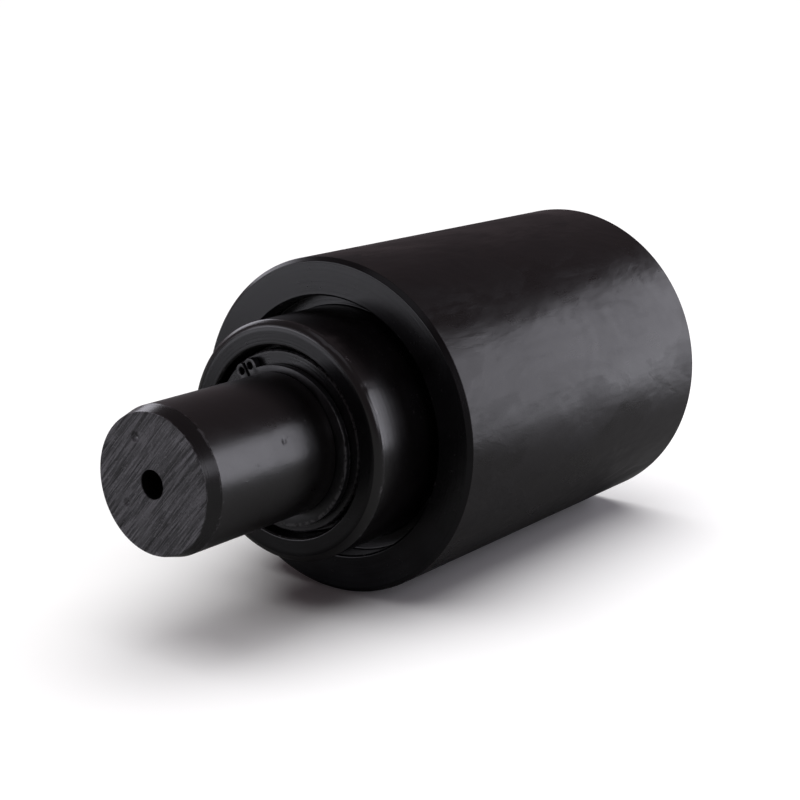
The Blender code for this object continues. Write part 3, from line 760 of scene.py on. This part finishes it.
def cut_cross_hole(shaft):
    """The drilling that leads oil from the shaft's middle to the bearings."""
    length = SHAFT_RADIUS + MM
    place = Matrix.Translation((0, FACE_Y, -length / 2))
    subtract(shaft, prism("cross_hole_cutter", 32, CROSS_HOLE_RADIUS, length, place))


def prism(name, sides, radius, length, place):
    """A closed prism along its own Z axis, centred on its place."""
    shape = bmesh.new()
    bmesh.ops.create_cone(
        shape,
        cap_ends=True,
        segments=sides,
        radius1=radius,
        radius2=radius,
        depth=length,
        matrix=place,
    )
    mesh = bpy.data.meshes.new(name)
    shape.to_mesh(mesh)
    shape.free()
    return new_object(name, mesh)


def subtract(piece, cutter):
    boolean = piece.modifiers.new("Cut", "BOOLEAN")
    boolean.operation = "DIFFERENCE"
    boolean.solver = "EXACT"
    boolean.object = cutter
    bpy.context.view_layer.update()
    graph = bpy.context.evaluated_depsgraph_get()
    mesh = bpy.data.meshes.new_from_object(piece.evaluated_get(graph))
    piece.modifiers.clear()
    piece.data = mesh
    mesh.shade_smooth()
    mesh.set_sharp_from_angle(angle=SHARP_ANGLE)
    bpy.data.objects.remove(cutter, do_unlink=True)


# ---------------------------------------------------------------------------------------------
# Rings, cover and plug

CLIP_SLIT = 0.7 * MM  # width of a circlip's opening
CLIP_LUG_SPACING = 1.35 * MM  # from the middle of the opening to each lug's hole
CLIP_ROUND = 0.12 * MM
SHAFT_CLIP_TURN = radians(122)  # where the opening points, from +X towards +Z
SHAFT_CLIP_BAND = 17.05 * MM  # outer radius of the band, and the radius that its lugs lie on
SHAFT_CLIP_LUGS = 17.2 * MM
BORE_CLIP_BAND = 1.9 * MM  # how far the band and the middle of its lugs reach into the bore
BORE_CLIP_LUGS = 2.4 * MM
SHAFT_CLIP_LUG = (1.6 * MM, 0.8 * MM)  # radius of a lug, and of the hole in it
BORE_CLIP_LUG = (2.2 * MM, 1.0 * MM)
BAND_OFFSET = 0.7 * MM  # a circlip's band is widest opposite its opening
O_RING_GROOVE = (2.6 * MM, 1.3 * MM)  # depth below the bore, and half its width
COVER_DISH = (11.0 * MM, 22.0 * MM, 2.0 * MM)  # inner and outer radius, and depth
PLUG_RADIUS = 4.7 * MM
PLUG_SOCKET = (5.0 * MM, 3.5 * MM)  # width across flats, and depth
PLUG_ROUND = 0.15 * MM
WASHER_BORE = 5.2 * MM


def make_collar():
    low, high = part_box("dust_collar")
    front, back = station(low.y), station(high.y)
    bore = SHAFT_RADIUS + CLEARANCE
    edge = 0.35 * MM
    profile = [
        (bore, front),
        (high.x - edge, front),
        (high.x, front + edge),
        (high.x, back),
        (bore, back),
    ]
    collar = turned("dust_collar_skin", divided(rounded(profile, 0.12 * MM), 0.8 * MM), 240)
    stand_for(collar, "dust_collar")


def band_radius(turn, radius, offset):
    return -offset * cos(turn) + sqrt(radius**2 - (offset * sin(turn)) ** 2)


def lug_radius(turn, lug_turn, centre, size, outward):
    off = turn - lug_turn
    inside = size**2 - (centre * sin(off)) ** 2
    if inside <= 0 or cos(off) < 0:
        return None
    return centre * cos(off) + (1 if outward else -1) * sqrt(inside)


def clip_edge(turn, band, offset, lugs, outward):
    """The free edge of a circlip: the eccentric band, and a lug where it reaches further."""
    edge = band_radius(turn, band, offset)
    lug_turn, centre, size = lugs
    for side in (lug_turn, 2 * pi - lug_turn):
        reach = lug_radius(turn, side, centre, size, outward)
        if reach is not None:
            edge = max(edge, reach) if outward else min(edge, reach)
    return edge


def circlip(name, node, turn, seat, band, offset, lug_centre, lug, outward):
    """A stamped circlip with rounded edges, its opening turned from +X towards +Z."""
    low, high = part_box(node)
    width = high.y - low.y
    lug_size, hole = lug
    slit = CLIP_SLIT / 2 / lug_centre
    lug_turn = asin(CLIP_LUG_SPACING / lug_centre)
    lugs = (lug_turn, lug_centre, lug_size)
    lug_end = lug_turn + asin(lug_size / lug_centre)
    fine_steps = 24
    fine = [slit + (lug_end - slit) * i / fine_steps for i in range(fine_steps + 1)]
    steps = 150
    coarse = [lug_end + (2 * pi - 2 * lug_end) * i / steps for i in range(1, steps)]
    turns = fine + coarse + [2 * pi - t for t in reversed(fine)]
    free = [(clip_edge(t, band, offset, lugs, outward), t) for t in turns]
    outline = free + [(seat, t) for t in reversed(turns)]
    loops = [[(r * cos(t), r * sin(t)) for r, t in outline]]
    for side in (lug_turn, -lug_turn):
        middle = (lug_centre * cos(side), lug_centre * sin(side))
        angles = [2 * pi * i / fine_steps for i in range(fine_steps)]
        loops.append([(middle[0] + hole * cos(a), middle[1] + hole * sin(a)) for a in angles])
    curve = bpy.data.curves.new(name, "CURVE")
    curve.dimensions = "2D"
    curve.fill_mode = "BOTH"
    curve.extrude = width / 2 - CLIP_ROUND
    curve.bevel_depth = CLIP_ROUND
    curve.bevel_resolution = 2
    curve.offset = -CLIP_ROUND
    for points in loops:
        spline = curve.splines.new("POLY")
        spline.points.add(len(points) - 1)
        for point, (x, y) in zip(spline.points, points):
            point.co = (x, y, 0, 1)
        spline.use_cyclic_u = True
    flat = new_object(name + "_outline", curve)
    bpy.context.view_layer.update()
    graph = bpy.context.evaluated_depsgraph_get()
    mesh = bpy.data.meshes.new_from_object(flat.evaluated_get(graph))
    bpy.data.objects.remove(flat, do_unlink=True)
    stand = Matrix.Rotation(-turn, 4, "Y") @ Matrix.Rotation(pi / 2, 4, "X")
    mesh.transform(Matrix.Translation((0, (low.y + high.y) / 2, 0)) @ stand)
    mesh.name = name
    smooth(mesh)
    stand_for(new_object(name, mesh), node)


def shaft_clip(name, node, turn):
    circlip(
        name,
        node,
        turn,
        seat=SHAFT_RADIUS - SHAFT_CLIP_DEPTH + CLEARANCE,
        band=SHAFT_CLIP_BAND,
        offset=BAND_OFFSET,
        lug_centre=SHAFT_CLIP_LUGS,
        lug=SHAFT_CLIP_LUG,
        outward=True,
    )


def bore_clip(name, node, turn, bore):
    circlip(
        name,
        node,
        turn,
        seat=bore + BORE_CLIP_DEPTH - CLEARANCE,
        band=bore - BORE_CLIP_BAND,
        offset=-BAND_OFFSET,
        lug_centre=bore - BORE_CLIP_LUGS,
        lug=BORE_CLIP_LUG,
        outward=False,
    )


def make_cover():
    o_ring_low, o_ring_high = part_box("cover_o_ring")
    front, back = COVER_FRONT, COVER_BACK
    radius = COVER_BORE - CLEARANCE
    middle = station((o_ring_low.y + o_ring_high.y) / 2)
    groove_depth, half_groove = O_RING_GROOVE
    bottom = COVER_BORE - groove_depth
    boss, rim, dish = COVER_DISH
    chamfer = 0.6 * MM
    hole = PLUG_RADIUS + CLEARANCE
    profile = [
        (hole, front),
        (radius - chamfer, front),
        (radius, front + chamfer),
        *groove(radius, bottom, middle - half_groove, middle + half_groove),
        (radius, back - chamfer),
        (radius - chamfer, back),
        (rim, back),
        (rim - dish, back - dish),
        (boss + dish, back - dish),
        (boss, back),
        (hole, back),
    ]
    cover = turned("end_cover_skin", divided(rounded(profile, 0.5 * MM), 2.0 * MM), 240)
    stand_for(cover, "end_cover")


def make_plug():
    low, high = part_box("fill_plug")
    tip, top = station(low.y), station(high.y)
    head_front = station(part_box("plug_washer")[1].y) + CLIP_CLEARANCE
    chamfer = 0.5 * MM
    profile = [
        (0, tip),
        (PLUG_RADIUS - chamfer, tip),
        (PLUG_RADIUS, tip + chamfer),
        (PLUG_RADIUS, head_front),
        (high.x, head_front),
        (high.x, top - chamfer),
        (high.x - chamfer, top),
        (0, top),
    ]
    plug = turned("fill_plug_skin", rounded(profile, PLUG_ROUND, closed=False), 96, closed=False)
    across_flats, depth = PLUG_SOCKET
    corner_radius = across_flats / 2 / cos(pi / 6)
    turn = Matrix.Translation((0, high.y, 0)) @ Matrix.Rotation(pi / 2, 4, "X")
    subtract(plug, prism("socket_cutter", 6, corner_radius, 2 * depth, turn))
    stand_for(plug, "fill_plug")


def make_washer():
    low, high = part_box("plug_washer")
    front, back = station(low.y), station(high.y)
    profile = [(WASHER_BORE, front), (high.x, front), (high.x, back), (WASHER_BORE, back)]
    washer = turned("plug_washer_skin", rounded(profile, PLUG_ROUND), 120)
    stand_for(washer, "plug_washer")


def make_balls():
    """Smooth balls in place of the faceted ones."""
    for node in sorted(frame["nodes"]):
        if "_ball_" not in node:
            continue
        low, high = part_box(node)
        shape = bmesh.new()
        radius = (high.z - low.z) / 2
        middle = Matrix.Translation((low + high) / 2)
        bmesh.ops.create_uvsphere(shape, u_segments=32, v_segments=16, radius=radius, matrix=middle)
        mesh = bpy.data.meshes.new(node + "_skin")
        shape.to_mesh(mesh)
        shape.free()
        mesh.shade_smooth()
        stand_for(new_object(node + "_skin", mesh), node)


# ---------------------------------------------------------------------------------------------
# Studio


def make_camera():
    right = Vector((cos(AZIMUTH), sin(AZIMUTH), 0))
    level = Vector((-sin(AZIMUTH), cos(AZIMUTH), 0))
    forward = level * cos(ELEVATION) - Vector((0, 0, sin(ELEVATION)))
    up = right.cross(forward)
    aim = Vector((0, FACE_Y, 0)) + ROLLER_RADIUS * (AIM_RIGHT * right + AIM_UP * up)
    camera = bpy.data.cameras.new("camera")
    camera.lens = LENS
    camera.clip_end = VIEW_REACH
    eye = bpy.data.objects.new("camera", camera)
    turn = Matrix((right, up, -forward)).transposed().to_4x4()
    eye.matrix_world = Matrix.Translation(aim - CAMERA_DISTANCE * ROLLER_RADIUS * forward) @ turn
    bpy.context.scene.collection.objects.link(eye)
    bpy.context.scene.camera = eye


def linked(name, obj, state):
    """A collection for light linking that includes or excludes one object."""
    group = bpy.data.collections.new(name)
    group.objects.link(obj)
    group.collection_objects[0].light_linking.link_state = state
    return group


def softbox(name, direction, distance, size, radiance, target, all_but_floor):
    """A flat area light whose surface has the given radiance. The floor blocks none of its light."""
    light = bpy.data.lights.new(name, "AREA")
    light.shape = "RECTANGLE"
    light.size, light.size_y = size
    light.energy = radiance * pi * size[0] * size[1]
    light.color = COOL_WHITE
    lamp = bpy.data.objects.new(name, light)
    lamp.location = target + Vector(direction).normalized() * distance
    lamp.rotation_euler = (target - lamp.location).to_track_quat("-Z", "Y").to_euler()
    lamp.visible_camera = False
    lamp.light_linking.blocker_collection = all_but_floor
    bpy.context.scene.collection.objects.link(lamp)
    return lamp


def camera_sees(tree, seen, otherwise):
    """One colour to the camera and another, dimmer one in reflections and bounced light."""
    path = tree.nodes.new("ShaderNodeLightPath")
    mix = tree.nodes.new("ShaderNodeMix")
    mix.data_type = "RGBA"
    mix.inputs[6].default_value = (*otherwise, 1)
    mix.inputs[7].default_value = (*seen, 1)
    tree.links.new(path.outputs["Is Camera Ray"], mix.inputs[0])
    return mix.outputs[2]


def make_floor():
    """A white floor that runs on past the horizon, where the world behind it has the same white."""
    mesh = bpy.data.meshes.new("floor")
    shape = bmesh.new()
    bmesh.ops.create_grid(shape, x_segments=2, y_segments=2, size=FLOOR_REACH)
    shape.to_mesh(mesh)
    shape.free()
    floor = new_object("floor", mesh)
    floor.location.z = SHELL_LOW.z - 0.1 * MM
    white, bounce = (FLOOR_WHITE,) * 3, (FLOOR_BOUNCE,) * 3
    m = Nodes("pale_floor", white, 0.0, 0.8, **{"Specular IOR Level": 0.1})
    paint(floor, m.set(colour=camera_sees(m.tree, white, bounce)))
    return floor


def make_world():
    """White behind the floor and dim all round, so that the black piece has little to mirror."""
    world = bpy.data.worlds.new("studio")
    bpy.context.scene.world = world
    world.use_nodes = True
    colour = camera_sees(world.node_tree, (1, 1, 1), SURROUNDINGS)
    world.node_tree.links.new(colour, world.node_tree.nodes["Background"].inputs["Color"])


def make_studio():
    floor = make_floor()
    make_world()
    sun = bpy.data.lights.new("ceiling", "SUN")
    sun.angle = radians(75)
    sun.energy = CEILING
    ceiling = bpy.data.objects.new("ceiling", sun)
    ceiling.light_linking.receiver_collection = linked("floor_only", floor, "INCLUDE")
    bpy.context.scene.collection.objects.link(ceiling)
    others = linked("all_but_floor", floor, "EXCLUDE")
    middle = Vector((0, FACE_Y + ROLLER_LENGTH / 2, 0))
    right = softbox("right_softbox", RIGHT_SIDE, RIGHT_DISTANCE, RIGHT_SIZE, RIGHT_RADIANCE, middle, others)
    right.rotation_euler.rotate_axis("Z", RIGHT_ROLL)
    face = Vector((0, FACE_Y, 0))
    left = softbox("left_softbox", LEFT_SIDE, LEFT_DISTANCE, LEFT_SIZE, LEFT_RADIANCE, face, others)
    left.light_linking.receiver_collection = others
    for name, (direction, size, radiance) in FILLS.items():
        fill = softbox(name, direction, FILL_DISTANCE, size, radiance, middle, others)
        fill.light_linking.receiver_collection = others
    bpy.context.scene.view_settings.view_transform = "Standard"


make_camera()
make_studio()

make_shell()
make_shaft()
make_collar()
shaft_clip("shaft_circlip_skin", "shaft_circlip", SHAFT_CLIP_TURN)
bore_clip("cover_circlip_skin", "cover_circlip", pi / 2, COVER_BORE)
make_cover()
make_plug()
make_washer()
make_balls()

for node, obj in frame["nodes"].items():
    if node not in ("roller_shell", "shaft"):
        paint(obj, finish(node))
